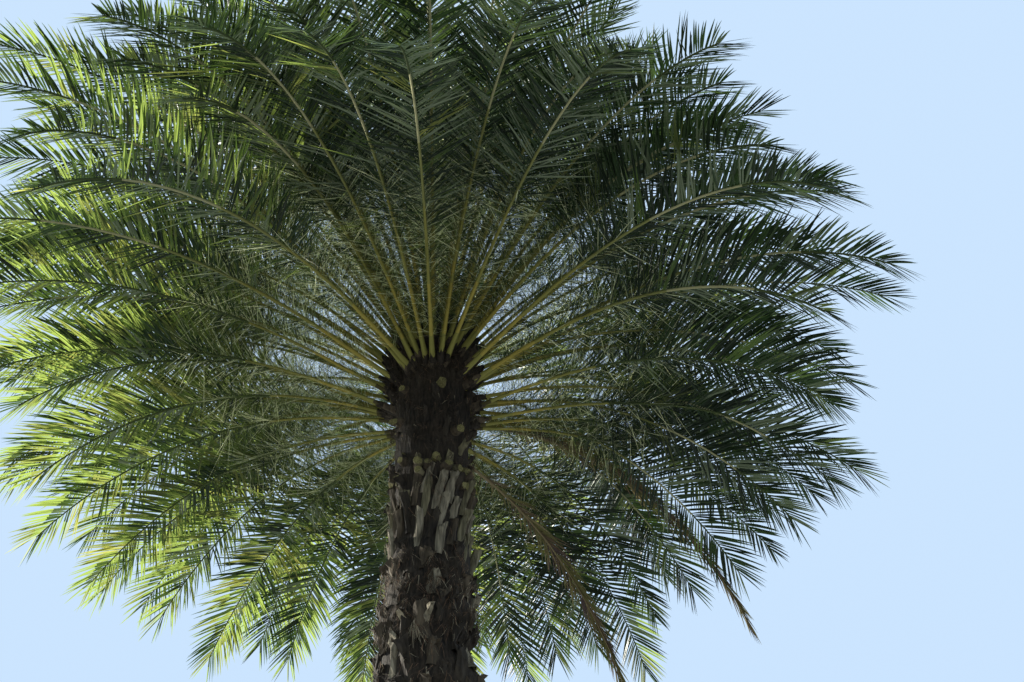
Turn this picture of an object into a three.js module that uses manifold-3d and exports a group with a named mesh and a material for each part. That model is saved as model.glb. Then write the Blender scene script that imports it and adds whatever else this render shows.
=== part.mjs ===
// A grown date palm, in millimetres, +Z up. The origin is the middle of the flat cut at ground level.
// One solid is the trunk, one is the bundle of young fronds on its top, and each grown frond is a thin folded
// blade along an arching rib: a bare stalk at the trunk, then the outline that its leaflets fill.
// Azimuth 0 points along +X and azimuth 90 along +Y, and the front of the palm is -Y.
import * as THREE from "three";
import Module from "manifold-3d";
import { mergeVertices } from "three/addons/utils/BufferGeometryUtils.js";

const DEG = Math.PI / 180;
const GAP = 0.4; // between the trunk and what it carries

// Trunk: the height of a girth, and the radius there over the stubs of old leaf bases.
const TRUNK_TOP = 6880;
const TRUNK_GIRTHS = [
  [0, 395],
  [120, 345],
  [320, 302],
  [700, 274],
  [1500, 258],
  [3200, 251],
  [4700, 257],
  [4950, 248],
  [5200, 230],
  [5450, 219],
  [5900, 222],
  [6350, 232],
  [6560, 226],
  [6700, 190],
  [6800, 145],
  [TRUNK_TOP, 96],
];
const TRUNK_SIDES = 20;
const TRUNK_LEAN = 1 * DEG; // towards -X
const TRUNK_SWAY = 35; // how far the middle of the trunk bows out of its own line, towards -Y

// Young fronds, which stand in one bundle on the trunk's top. It opens like a goblet.
const HEART_FOOT = TRUNK_TOP + GAP;
const HEART_TOP = 9050;
const HEART_GIRTHS = [
  [0, 74],
  [0.1, 105],
  [0.3, 260],
  [0.5, 390],
  [0.68, 460],
  [0.82, 420],
  [0.93, 250],
  [1, 40],
]; // share of the bundle's height, and the radius there
const HEART_SIDES = 15;
const HEART_FLUTES = 5; // ridges round the bundle, where single fronds stand proud
const HEART_FLUTE_DEPTH = 0.14;
const HEART_FLUTE_TURN = 4; // radians that the ridges wind round from bottom to top

// Green fronds, from the lowest ring to the highest. rise is the angle over level at which a stalk leaves the
// trunk, droop is how far the rib has turned down at its tip, and foot is the height where the stalk leaves.
// nearLift is how much higher the stalks leave on the -Y side, where the oldest fronds have been cut off, and
// pinch is the share of their length that the fronds lack towards PINCHED_SIDE.
const RINGS = [
  {
    name: "lowest",
    rise: 20,
    droop: 70,
    length: 2680,
    foot: 6120,
    nearLift: 220,
    pinch: 0,
    azimuths: [13, 36, 60, 79, 103, 122, 143, 163, 186, 211, 236, 253, 270, 290, 312, 333],
  },
  {
    name: "low",
    rise: 27,
    droop: 72,
    length: 2760,
    foot: 6250,
    nearLift: 205,
    pinch: 0.11,
    azimuths: [26, 57, 71, 91, 113, 132, 152, 174, 199, 224, 245, 262, 280, 301, 323, 352],
  },
  {
    name: "spreading",
    rise: 36,
    droop: 70,
    length: 2760,
    foot: 6385,
    nearLift: 180,
    pinch: 0.15,
    azimuths: evenly(12, 10),
  },
  {
    name: "rising",
    rise: 49,
    droop: 66,
    length: 2700,
    foot: 6520,
    nearLift: 130,
    pinch: 0.18,
    azimuths: evenly(8, 20),
  },
  {
    name: "inner",
    rise: 64,
    droop: 58,
    length: 2600,
    foot: 6650,
    nearLift: 70,
    pinch: 0.16,
    azimuths: evenly(4, 40),
  },
];
const SIDE_RISE = 7; // how much more steeply the fronds leave at the two sides, along X
const NEAR_DIP = 7; // how much less steeply they leave on the -Y side
const SIDE_SHORTER = 0.09; // share of their length that the fronds at the two sides lack
const THIN_SIDE = 45; // azimuth of the side where the whole crown reaches out a little less
const THIN_SIDE_SHORTER = 0.04;
const PINCHED_SIDE = 312; // azimuth of a narrow gap in the upper rings
const PINCHED_WIDTH = 90; // degrees in which the gap fades in and out
const STAGGER_FOOT = 18; // fronds of a ring leave by turns this much above and below the ring's height
const STAGGER_RISE = 2;
const DROOP_SPREAD = 4;
const LENGTH_SPREAD = 0.02;
const SWAY_SPREAD = 60; // how far a tip may lie to one side of its azimuth
const TWIST_SPREAD = 6 * DEG;

// Two old fronds that have dried and closed up, and hang under the green ones.
const DRY_FRONDS = [
  { azimuth: 63, rise: 14, droop: 64, length: 2500, foot: 6040, sway: 0 },
  { azimuth: 45, rise: 25, droop: 79, length: 2640, foot: 6200, sway: 0 },
];
const DRY_HALF_WIDTH = 60;

// The blade of a frond.
const BEND = 1.5; // how late along the rib the droop comes: 1 is an even arc
const STALK = 0.17; // share of a frond's length that is bare stalk
const FOOT_FLARE = 0.6; // share of the stalk in which its clasping foot narrows
const WIDEST = 0.5; // where along the frond the leaflets reach out furthest
const TIP_FULLNESS = 0.8; // how late the outline closes towards the tip: 1 is a quarter of a sine
const HALF_WIDTH = 262;
const FOLD = 20 * DEG; // how far each half of the blade is folded up from flat
const FOOT_HALF_WIDTH = 42;
const STALK_HALF_WIDTH = 22;
const RIB_THICKNESS = 30; // at the foot
const TIP_THICKNESS = 9;
const STALK_EDGE = 0.8; // a stalk's thickness at its edges, as a share of that in its middle
const BLADE_EDGE = 6;
const STATIONS = 10;
const STEPS = 8; // of the rib between two stations
const ROOTED = 60; // how deep a stalk starts inside the trunk before it is cut back to the bark
const NARROWING = 0.08; // share of its width that a blade gives up at a time to clear its neighbours
const NARROWEST = 0.3;

const WELD = 1e-3; // vertices this close are one

function evenly(count, first) {
  return Array.from({ length: count }, (_, i) => first + (i * 360) / count);
}

// A steady pseudo-random number from -1 to 1 for one property of one frond.
function vary(frond, property) {
  const wave = Math.sin(frond * 12.9898 + property * 78.233) * 43758.5453;
  return 2 * (wave - Math.floor(wave)) - 1;
}

// The value at a place in a table of [place, value] rows.
function between(table, at) {
  const next = Math.max(1, table.findIndex(([place]) => place >= at));
  const [fromPlace, fromValue] = table[next - 1];
  const [toPlace, toValue] = table[next];
  return fromValue + ((toValue - fromValue) * (at - fromPlace)) / (toPlace - fromPlace);
}

// The middle of the trunk at a height.
function trunkAxis(height) {
  const share = height / TRUNK_TOP;
  return new THREE.Vector3(-Math.tan(TRUNK_LEAN) * height, -TRUNK_SWAY * Math.sin(Math.PI * share), height);
}

// A turned solid whose rings follow an axis. A corner's radius is multiplied by ripple(angle, share of height).
function turned(girths, sides, axisAt, ripple = () => 1) {
  const bottom = girths[0][0];
  const top = girths[girths.length - 1][0];
  const profile = girths.map(([height, radius]) => new THREE.Vector2(radius, height));
  profile.unshift(new THREE.Vector2(0, bottom));
  profile.push(new THREE.Vector2(0, top));
  const geometry = new THREE.LatheGeometry(profile, sides).rotateX(Math.PI / 2);
  const position = geometry.getAttribute("position");
  for (let i = 0; i < position.count; i++) {
    const height = position.getZ(i);
    const angle = Math.atan2(position.getY(i), position.getX(i));
    const swell = ripple(angle, (height - bottom) / (top - bottom));
    const middle = axisAt(height);
    position.setXYZ(i, middle.x + position.getX(i) * swell, middle.y + position.getY(i) * swell, height);
  }
  return geometry;
}

// The rib of a frond, as the place and the direction of each station from inside the trunk to the tip.
function ribOf({ azimuth, rise, droop, length, foot, sway }) {
  const outward = new THREE.Vector3(Math.cos(azimuth * DEG), Math.sin(azimuth * DEG), 0);
  const sideways = new THREE.Vector3(-outward.y, outward.x, 0);
  const at = trunkAxis(foot).addScaledVector(outward, between(TRUNK_GIRTHS, foot) - ROOTED);
  const heading = (share) => {
    const angle = (rise - droop * share ** BEND) * DEG;
    const along = outward.clone().multiplyScalar(Math.cos(angle));
    along.addScaledVector(sideways, (2 * sway * share) / length);
    return along.setZ(Math.sin(angle));
  };
  const stationAt = (share) => ({ at: at.clone(), along: heading(share).normalize() });
  const rib = [stationAt(0)];
  for (let station = 0; station < STATIONS; station++) {
    const reach = length / STATIONS + (station === 0 ? ROOTED : 0);
    for (let step = 0; step < STEPS; step++)
      at.addScaledVector(heading((station + (step + 0.5) / STEPS) / STATIONS), reach / STEPS);
    rib.push(stationAt((station + 1) / STATIONS));
  }
  return rib;
}

// Half of the blade's width at a share of the frond's length.
function halfWidth(share, widest) {
  if (share < STALK) {
    const flare = Math.max(0, 1 - share / (FOOT_FLARE * STALK));
    return STALK_HALF_WIDTH + (FOOT_HALF_WIDTH - STALK_HALF_WIDTH) * flare;
  }
  const opening = Math.sin(((share - STALK) / (WIDEST - STALK)) * (Math.PI / 2));
  const closing = Math.sin(((1 - share) / (1 - WIDEST)) * (Math.PI / 2));
  const swell = share < WIDEST ? opening : Math.max(0, closing) ** TIP_FULLNESS;
  return STALK_HALF_WIDTH + (widest - STALK_HALF_WIDTH) * swell;
}

// The corners of a blade's section, round from its left upper edge, and then the middle of the section.
function sectionOf({ at, along }, share, widest, twist) {
  const level = new THREE.Vector3(-along.y, along.x, 0).normalize();
  const side = level.applyAxisAngle(along, twist * share * share);
  const up = new THREE.Vector3().crossVectors(along, side);
  const width = halfWidth(share, widest);
  const middle = (RIB_THICKNESS + (TIP_THICKNESS - RIB_THICKNESS) * share) / 2;
  const edge = share < STALK ? middle * STALK_EDGE : BLADE_EDGE / 2;
  const lift = share < STALK ? 0 : width * Math.tan(FOLD);
  const corner = (across, above) => at.clone().addScaledVector(side, across).addScaledVector(up, above);
  return [
    corner(width, lift + edge),
    corner(0, middle),
    corner(-width, lift + edge),
    corner(-width, lift - edge),
    corner(0, -middle),
    corner(width, lift - edge),
    corner(0, 0),
  ];
}

// A closed blade along a rib: a rod with six corners, whose rings are drawn out into the blade's sections.
function bladeGeometry(rib, widest, twist) {
  const corners = 6;
  const geometry = new THREE.CylinderGeometry(1, 1, 1, corners, STATIONS);
  const position = geometry.getAttribute("position");
  const sections = rib.map((station, i) => sectionOf(station, i / STATIONS, widest, twist));
  for (let i = 0; i < position.count; i++) {
    const [x, y, z] = [position.getX(i), position.getY(i), position.getZ(i)];
    const section = sections[Math.round((y + 0.5) * STATIONS)];
    const turn = Math.round((Math.atan2(x, z) / (2 * Math.PI)) * corners + corners) % corners;
    const place = Math.hypot(x, z) < 0.5 ? section[corners] : section[turn];
    position.setXYZ(i, place.x, place.y, place.z);
  }
  return geometry;
}

const wasm = await Module();
wasm.setup();

// A closed geometry as a solid that can be cut.
function solidOf(geometry) {
  const bare = geometry.clone();
  bare.deleteAttribute("normal");
  bare.deleteAttribute("uv");
  const merged = mergeVertices(bare, WELD);
  const mesh = new wasm.Mesh({
    numProp: 3,
    vertProperties: new Float32Array(merged.attributes.position.array),
    triVerts: new Uint32Array(merged.index.array),
  });
  return new wasm.Manifold(mesh);
}

// A solid as a geometry that can be shown.
function geometryOf(solid) {
  const mesh = solid.getMesh();
  const geometry = new THREE.BufferGeometry();
  geometry.setAttribute("position", new THREE.BufferAttribute(mesh.vertProperties, 3));
  geometry.setIndex(new THREE.BufferAttribute(mesh.triVerts, 1));
  geometry.computeVertexNormals();
  return geometry;
}

function matte(color, roughness) {
  return new THREE.MeshStandardMaterial({ color, roughness, metalness: 0 });
}

function named(name, geometry, material) {
  const mesh = new THREE.Mesh(geometry, material);
  mesh.name = name;
  return mesh;
}

const palm = new THREE.Group();
const bark = matte(0x3d3229, 0.95);
const green = matte(0x3c5220, 0.55);
const youngGreen = matte(0x4d6426, 0.55);
const dryBrown = matte(0x6a5a34, 0.85);

palm.add(named("trunk", turned(TRUNK_GIRTHS, TRUNK_SIDES, trunkAxis), bark));

// The trunk grown by the gap, which every stalk is cut back to.
const growth = GAP / Math.cos(Math.PI / TRUNK_SIDES);
const grownGirths = TRUNK_GIRTHS.map(([height, radius]) => [height, radius + growth]);
const grownTrunk = solidOf(turned(grownGirths, TRUNK_SIDES, trunkAxis));

const heartHeight = HEART_TOP - HEART_FOOT;
const heartGirths = HEART_GIRTHS.map(([share, radius]) => [HEART_FOOT + share * heartHeight, radius]);
const heartAxis = (height) => trunkAxis(TRUNK_TOP).setZ(height);
const heartFlutes = (angle, share) =>
  1 + HEART_FLUTE_DEPTH * share * Math.sin(HEART_FLUTES * angle + HEART_FLUTE_TURN * share);
palm.add(named("young_fronds", turned(heartGirths, HEART_SIDES, heartAxis, heartFlutes), youngGreen));

// Adds a frond, which gives way to those already there: its blade is narrowed until it clears them.
const placed = [];
function addFrond(name, posture, widest, twist, material) {
  const rib = ribOf(posture);
  const bladeOf = (share) => solidOf(bladeGeometry(rib, widest * share, twist)).subtract(grownTrunk);
  const touches = (solid) => placed.some((other) => solid.intersect(other).volume() > 0);
  let share = 1;
  let solid = bladeOf(share);
  while (touches(solid) && share > NARROWEST) {
    share -= NARROWING;
    solid = bladeOf(share);
  }
  placed.push(solid);
  palm.add(named(name, geometryOf(solid), material));
}

// How a green frond stands: its ring's posture, changed by the side of the crown it is on and by chance.
function postureIn(ring, azimuth, i, frond) {
  const atSide = Math.cos(azimuth * DEG) ** 2;
  const near = ((1 - Math.sin(azimuth * DEG)) / 2) ** 2;
  const thin = Math.cos((azimuth - THIN_SIDE) * DEG);
  const offPinch = Math.min(1, Math.abs(azimuth - PINCHED_SIDE) / (PINCHED_WIDTH / 2));
  const pinched = Math.cos((offPinch * Math.PI) / 2) ** 2;
  const shorter = SIDE_SHORTER * atSide + THIN_SIDE_SHORTER * thin + ring.pinch * pinched;
  const stagger = i % 2 ? 1 : -1;
  return {
    azimuth,
    rise: ring.rise + SIDE_RISE * atSide - NEAR_DIP * near + STAGGER_RISE * stagger + vary(frond, 1),
    droop: ring.droop + DROOP_SPREAD * vary(frond, 2),
    length: ring.length * (1 - shorter + LENGTH_SPREAD * vary(frond, 3)),
    foot: ring.foot + ring.nearLift * near + STAGGER_FOOT * stagger,
    sway: SWAY_SPREAD * vary(frond, 5),
  };
}

DRY_FRONDS.forEach((posture, i) => addFrond(`frond_dry_${i + 1}`, posture, DRY_HALF_WIDTH, 0, dryBrown));

let frond = 0;
for (const ring of RINGS)
  ring.azimuths.forEach((azimuth, i) => {
    frond += 1;
    const name = `frond_${ring.name}_${String(i + 1).padStart(2, "0")}`;
    addFrond(name, postureIn(ring, azimuth, i, frond), HALF_WIDTH, TWIST_SPREAD * vary(frond, 6), green);
  });

export default palm;
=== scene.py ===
# %% [markdown]
# # A grown date palm
# A date palm is one trunk and one crown. The trunk is wrapped in the stubs of old leaf bases, and the crown
# is a round head of feather fronds: ribs that arch out and down, each with two rows of narrow leaflets. The
# palm stands in metres with +Z up, on the flat cut under its trunk, and its front is -Y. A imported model
# gives each solid its place: a trunk, a bundle of young fronds, and a thin folded blade for each grown
# frond. Each of those plain solids is measured here, and then replaced by what a real palm has there.

# %% Load the frame
import math

import bpy
import numpy as np
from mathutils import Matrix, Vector, noise


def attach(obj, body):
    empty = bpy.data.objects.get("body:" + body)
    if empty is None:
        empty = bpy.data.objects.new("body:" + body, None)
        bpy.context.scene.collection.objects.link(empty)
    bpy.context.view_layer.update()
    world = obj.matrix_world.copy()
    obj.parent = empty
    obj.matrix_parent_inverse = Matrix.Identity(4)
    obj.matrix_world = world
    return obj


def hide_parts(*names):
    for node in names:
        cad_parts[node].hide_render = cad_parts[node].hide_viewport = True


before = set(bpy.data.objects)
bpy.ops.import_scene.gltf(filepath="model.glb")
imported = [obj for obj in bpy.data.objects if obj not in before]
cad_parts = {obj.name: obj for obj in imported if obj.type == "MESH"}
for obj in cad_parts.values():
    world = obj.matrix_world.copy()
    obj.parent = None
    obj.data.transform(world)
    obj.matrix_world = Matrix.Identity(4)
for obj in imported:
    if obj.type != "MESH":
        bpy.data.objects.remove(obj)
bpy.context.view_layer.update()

# %% [markdown]
# ## The camera
# The palm is seen from below: the eye is at a standing person's height, a few steps in front of the trunk,
# and looks up into the crown. A 50 mm lens on a 36 mm wide picture keeps the near fronds from growing too
# large.

# %% Camera
EYE = Vector((0.293, -5.648, 1.591))
LOOK_UP = math.radians(42)
LENS_MM = 50
PICTURE_MM = 36

camera = bpy.data.objects.new("camera", bpy.data.cameras.new("camera"))
camera.location = EYE
camera.rotation_euler = (math.pi / 2 + LOOK_UP, 0, 0)
camera.data.lens = LENS_MM
camera.data.sensor_width = PICTURE_MM
bpy.context.scene.collection.objects.link(camera)
bpy.context.scene.camera = camera
print("camera at", tuple(EYE), "looking up", round(math.degrees(LOOK_UP)), "degrees")

# %% [markdown]
# ## Gathering small things into one mesh
# The crown has nearly thirty thousand leaflets. As objects of their own they would choke Blender, and as
# particles they would be lost when the model is saved for another program. So the leaflets are worked out
# as arrays of points, thousands at a time, and gathered into a few joined meshes. Two kinds of patch are
# enough for the whole palm: an open strip that ends in a point, for leaves and fibres, and a tube, for
# stalks and stubs.

# %% A gatherer of patches
class Patches:
    """Gathers strips and tubes, and makes them one mesh. A finish is the number of one of its materials."""

    def __init__(self):
        self.points, self.faces, self.finishes = [], [], []
        self.count = 0

    def add(self, points, faces, finishes):
        """Adds faces of four corners. They count from the first of points."""
        faces = faces + self.count
        self.points.append(points.reshape(-1, 3))
        self.faces.append(faces.reshape(-1, 4))
        self.finishes.append(np.broadcast_to(finishes, faces.shape[:-1]).reshape(-1))
        self.count += points.size // 3

    def sheets(self, rings, around, finishes, tips, end_finishes):
        """Quads between the corners of each ring and the next, for many things at once, and a fan from each
        last ring to its tip. rings has the shape (many, rings, corners, 3)."""
        many, steps, corners, _ = rings.shape
        here = np.arange(corners if around else corners - 1)
        after = (here + 1) % corners
        base = (np.arange(many)[:, None, None] * steps + np.arange(steps - 1)[None, :, None]) * corners
        quads = np.stack([base + here, base + after, base + after + corners, base + here + corners], axis=-1)
        rim = self.count + (np.arange(many)[:, None] * steps + steps - 1) * corners
        self.add(rings, quads, finishes)
        tip = self.count + np.arange(many)[:, None] + 0 * here
        fans = np.stack([rim + here, rim + after, tip, np.full_like(tip, -1)], axis=-1)
        self.points.append(tips)
        self.faces.append(fans.reshape(-1, 4))
        self.finishes.append(np.broadcast_to(end_finishes, tip.shape).reshape(-1))
        self.count += many

    def strips(self, rings, tips, finishes):
        """Open strips that end in a point: tips has the shape (many, 3), and finishes (many, rings)."""
        self.sheets(rings, False, finishes[:, :-1, None], tips, finishes[:, -1:])

    def tubes(self, rings, finishes, end_finishes=None):
        """Tubes with a closed end. finishes has the shape (many, rings - 1), or that and one more axis for
        the corners, and end_finishes (many,)."""
        finishes = np.asarray(finishes).reshape(len(rings), rings.shape[1] - 1, -1)
        ends = finishes[:, -1, :1] if end_finishes is None else np.asarray(end_finishes)[:, None]
        self.sheets(rings, True, finishes, rings[:, -1].mean(axis=1), ends)

    def piece(self, name, materials, smooth):
        """One object of everything gathered, which rides on the palm's only body."""
        points = np.concatenate(self.points).astype(np.float32)
        faces = np.concatenate(self.faces)
        sizes = (faces >= 0).sum(axis=1)
        corners = faces[faces >= 0]
        mesh = bpy.data.meshes.new(name)
        mesh.vertices.add(len(points))
        mesh.vertices.foreach_set("co", points.ravel())
        mesh.loops.add(len(corners))
        mesh.loops.foreach_set("vertex_index", corners.astype(np.int32))
        mesh.polygons.add(len(faces))
        mesh.polygons.foreach_set("loop_start", (np.cumsum(sizes) - sizes).astype(np.int32))
        mesh.polygons.foreach_set("material_index", np.concatenate(self.finishes).astype(np.int32))
        mesh.polygons.foreach_set("use_smooth", np.full(len(faces), smooth))
        for material in materials:
            mesh.materials.append(material)
        mesh.update(calc_edges=True)
        made = bpy.data.objects.new(name, mesh)
        bpy.context.scene.collection.objects.link(made)
        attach(made, "root")
        print(f"{name}: {int((sizes - 2).sum())} triangles")
        return made


def stand_for(piece, nodes):
    """Hides the solids that a piece replaces. The piece is not used."""
    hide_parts(*nodes)


def section_rings(middle, side, up, half, depth, section):
    """Rings of a tube along a line. section gives the corners, as shares of half the width and the depth."""
    across, above = section.T
    return (
        middle[..., None, :]
        + side[..., None, :] * (half[..., None] * across)[..., None]
        + up[..., None, :] * (depth[..., None] * above)[..., None]
    )


# %% [markdown]
# ## Measuring the trunk
# The trunk's solid is a stack of rings. The middle and the radius of each ring give the trunk's line and
# girth at every height, so that bark, stubs and fibres can be laid on it. The radius is over the stubs: the
# bark under them lies up to five centimetres deeper.

# %% The trunk's line and girth
SAME_RING = 0.001  # metres: corners no further apart in height lie on one ring


def corners_of(node):
    """The corners of a solid as an array."""
    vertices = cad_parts[node].data.vertices
    corners = np.empty(len(vertices) * 3, np.float32)
    vertices.foreach_get("co", corners)
    return corners.reshape(-1, 3).astype(float)


def trunk_rings():
    """Height, middle x, middle y and radius of each ring of the trunk's solid, from the ground up."""
    corners = corners_of("trunk")
    heights = np.unique(np.round(corners[:, 2], 3))
    rings = []
    for height in heights:
        ring = corners[np.abs(corners[:, 2] - height) < SAME_RING]
        middle = (ring[:, :2].min(axis=0) + ring[:, :2].max(axis=0)) / 2
        radius = np.linalg.norm(ring[:, :2] - middle, axis=1).max()
        rings.append((height, *middle, radius))
    return np.array(rings)


TRUNK = trunk_rings()
TRUNK_TOP = TRUNK[-1, 0]


def trunk_middle(height):
    """The middle of the trunk at each height, as an array of points."""
    height = np.asarray(height, float)
    across = [np.interp(height, TRUNK[:, 0], TRUNK[:, column]) for column in (1, 2)]
    return np.stack([*across, height], axis=-1)


def trunk_radius(height):
    """The trunk's radius over its stubs."""
    return np.interp(height, TRUNK[:, 0], TRUNK[:, 3])


def outward(azimuth):
    """A level direction, as an array of vectors."""
    return np.stack([np.cos(azimuth), np.sin(azimuth), 0 * azimuth], axis=-1)


print("trunk:", len(TRUNK), "rings up to", round(TRUNK_TOP, 2), "m")

# %% [markdown]
# ## Measuring a frond
# A frond's solid is a thin blade, folded along its rib: eleven rings of six corners each, with more corners
# only at its foot and its tip. Walking over its edges from the tip, ring by ring, finds the rings again.
# The middle corners lie on the rib, and the outer pairs tell how far the leaflets reach. A smooth curve
# through the rings is then the frond's rib.

# %% The rib of a frond
WELD = 1e-4  # metres: corners that are this near each other are one
TIP_PATCH = 0.08  # corners this near the tip are the blade's last ring
FINE_STEPS = 4  # of a rib between two rings


def unit(vectors):
    """The same directions with length 1."""
    return vectors / np.linalg.norm(vectors, axis=-1, keepdims=True)


def blade_rings(node):
    """The rings of a blade's corners, from its foot to its tip."""
    corners = corners_of(node)
    _, first, same = np.unique(np.round(corners / WELD), axis=0, return_index=True, return_inverse=True)
    points = corners[first]
    same = same.reshape(-1)
    edges = np.empty(len(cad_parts[node].data.edges) * 2, np.int32)
    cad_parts[node].data.edges.foreach_get("vertices", edges)
    edges = same[edges].reshape(-1, 2)
    from_axis = np.linalg.norm(points[:, :2] - trunk_middle(points[:, 2])[:, :2], axis=1)
    foot = points[np.argmin(from_axis)]
    tip = points[np.argmax(np.linalg.norm(points - foot, axis=1))]
    step_from_tip = np.where(np.linalg.norm(points - tip, axis=1) < TIP_PATCH, 0, -1)
    step = 0
    while (step_from_tip == step).any():
        for here, there in (edges.T, edges.T[::-1]):
            reached = there[step_from_tip[here] == step]
            step_from_tip[reached[step_from_tip[reached] < 0]] = step + 1
        step += 1
    return [points[step_from_tip == level] for level in range(step - 1, -1, -1)]


def smooth_line(points):
    """A smooth curve through points, with FINE_STEPS steps between two of them."""
    before = np.vstack([2 * points[:1] - points[1:2], points[:-1]])[:-1]
    after = np.vstack([points[2:], 2 * points[-1:] - points[-2:-1]])
    start, end = points[:-1], points[1:]
    t = (np.arange(FINE_STEPS) / FINE_STEPS)[None, :, None]
    p, q, r, s = (a[:, None, :] for a in (before, start, end, after))
    line = 0.5 * (2 * q + (r - p) * t + (2 * p - 5 * q + 4 * r - s) * t**2 + (3 * q - p - 3 * r + s) * t**3)
    return np.vstack([line.reshape(-1, points.shape[1]), points[-1:]])


class Rib:
    """The line of a frond's rib, which way is left and up along it, and how far its leaflets reach."""

    def __init__(self, points, sides, reaches):
        self.points = smooth_line(points)
        steps = np.linalg.norm(np.diff(self.points, axis=0), axis=1)
        self.run = np.concatenate([[0], np.cumsum(steps)])
        self.length = self.run[-1]
        self.along = unit(np.gradient(self.points, self.run, axis=0))
        sides = smooth_line(sides)
        self.side = unit(sides - (sides * self.along).sum(axis=1, keepdims=True) * self.along)
        self.reaches = smooth_line(reaches[:, None])[:, 0]

    def at(self, run):
        """Place, along, left, up and reach at each distance from the foot."""
        place, along, side = (
            np.stack([np.interp(run, self.run, column) for column in values.T], axis=-1)
            for values in (self.points, self.along, self.side)
        )
        along, side = unit(along), unit(side)
        return place, along, side, np.cross(along, side), np.interp(run, self.run, self.reaches)


def read_rib(node):
    """The rib of a frond's solid."""
    rings = blade_rings(node)
    middles = np.array([ring.mean(axis=0) for ring in rings])
    headings = unit(np.gradient(middles, axis=0))
    points, sides, reaches = [], [], []
    for ring, middle, heading in zip(rings, middles, headings):
        level = unit(np.array([-heading[1], heading[0], 0]))
        ring = ring[np.argsort(ring @ level)]
        if len(ring) < 6:
            continue
        right, rib, left = ring[:2].mean(axis=0), ring[2:-2].mean(axis=0), ring[-2:].mean(axis=0)
        points.append(rib)
        sides.append(unit(left - right))
        reaches.append(np.linalg.norm(left - right) / 2)
    return Rib(np.array(points), np.array(sides), np.array(reaches))


GREEN_RINGS = ["lowest", "low", "spreading", "rising", "inner"]
RIBS = {node: read_rib(node) for node in sorted(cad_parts) if node.startswith("frond_")}
lengths = [rib.length for rib in RIBS.values()]
print("fronds:", len(RIBS), "from", round(min(lengths), 2), "to", round(max(lengths), 2), "m")

# %% [markdown]
# ## More fronds in the gaps
# A crown as dense as this one holds many more fronds than it has solids: 138 green ones, and 56 have a
# solid of their own. Two neighbours of a ring show how fronds arch at that height, so a frond between them
# takes its line from both. It starts in the direction given, with a reach and height between theirs. Then
# it may rise or droop a little and be made shorter, so that no two fronds are alike.

# %% Fronds between neighbours
SEED = 11
STEPS_OF_GAP = 12
UNEVEN_LEVEL = 0.12  # how far a frond between two others is turned about its rib
GAP_FRONDS = {  # direction in degrees, rise for each metre out, and share of the neighbours' reach
    "lowest": [(26, 0, 0.88), (36, 0.12, 0.95), (54, 0, 0.85), (65, 0, 0.85), (72, 0, 0.85), (88, 0, 1),
               (103, 0, 0.9), (114, 0, 0.95), (126, -0.1, 0.95), (136, -0.05, 0.92), (148, -0.05, 0.95),
               (159, -0.1, 0.95), (168, 0.2, 0.95), (171, -0.1, 0.85), (183, 0, 0.85), (199, 0.05, 1),
               (240, -0.2, 1), (246, 0.1, 0.85), (262, 0, 1), (280, 0.25, 0.85), (330, -0.1, 0.85),
               (357, 0, 0.85)],
    "low": [(13, -0.2, 0.9), (21, -0.2, 0.85), (36, -0.2, 0.85), (50, -0.1, 0.95), (80, -0.15, 0.85),
            (85, -0.05, 0.95), (105, -0.1, 0.9), (118, -0.1, 0.95), (136, -0.18, 0.97), (138, 0.05, 0.85),
            (149, -0.1, 0.95), (164, -0.1, 1), (174, -0.05, 0.95), (187, 0, 1), (237, 0.1, 0.85),
            (251, -0.05, 0.95), (272, 0, 1), (289, -0.05, 0.95), (310, 0, 0.9), (311, -0.08, 0.95)],
    "spreading": [(0, -0.3, 0.95), (10, -0.2, 0.95), (25, 0, 0.95), (33, -0.15, 1), (57, -0.05, 0.95),
                  (90, 0, 0.9), (148, -0.15, 1), (164, -0.05, 0.95), (176, 0, 0.95), (183, 0.05, 0.95),
                  (190, 0.15, 0.9), (198, -0.15, 0.9), (204, 0, 0.95), (241, -0.1, 0.9), (258, -0.15, 0.85),
                  (295, -0.1, 0.85), (344, -0.15, 0.9)],
    "rising": [(14, -0.2, 1), (45, 0, 1), (90, 0, 1), (190, -0.1, 1), (207, 0.1, 0.95), (225, -0.2, 0.85),
               (262, -0.1, 1), (270, 0, 1), (296, 0, 1), (318, -0.05, 0.85), (338, 0.05, 0.9),
               (354, -0.2, 0.95)],
    "inner": [(5, 0.1, 0.95), (20, 0.35, 0.7), (85, 0.15, 1), (100, 0.35, 0.75), (165, 0.3, 0.8),
              (185, 0.05, 0.95), (212, 0.25, 0.9), (245, 0.35, 0.7), (265, 0.1, 0.95), (290, 0.25, 0.9),
              (335, 0.3, 0.85)],
}


def around_trunk(rib):
    """The line of a rib as direction, reach and height round the trunk's middle."""
    points = rib.at(np.linspace(0, 1, STEPS_OF_GAP) * rib.length)[0]
    from_middle = points[:, :2] - trunk_middle(points[:, 2])[:, :2]
    return np.arctan2(from_middle[:, 1], from_middle[:, 0]), np.linalg.norm(from_middle, axis=1), points[:, 2]


def turn_between(start, end):
    """The turn from one direction to another, from -pi to pi."""
    return (end - start + math.pi) % (2 * math.pi) - math.pi


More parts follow.
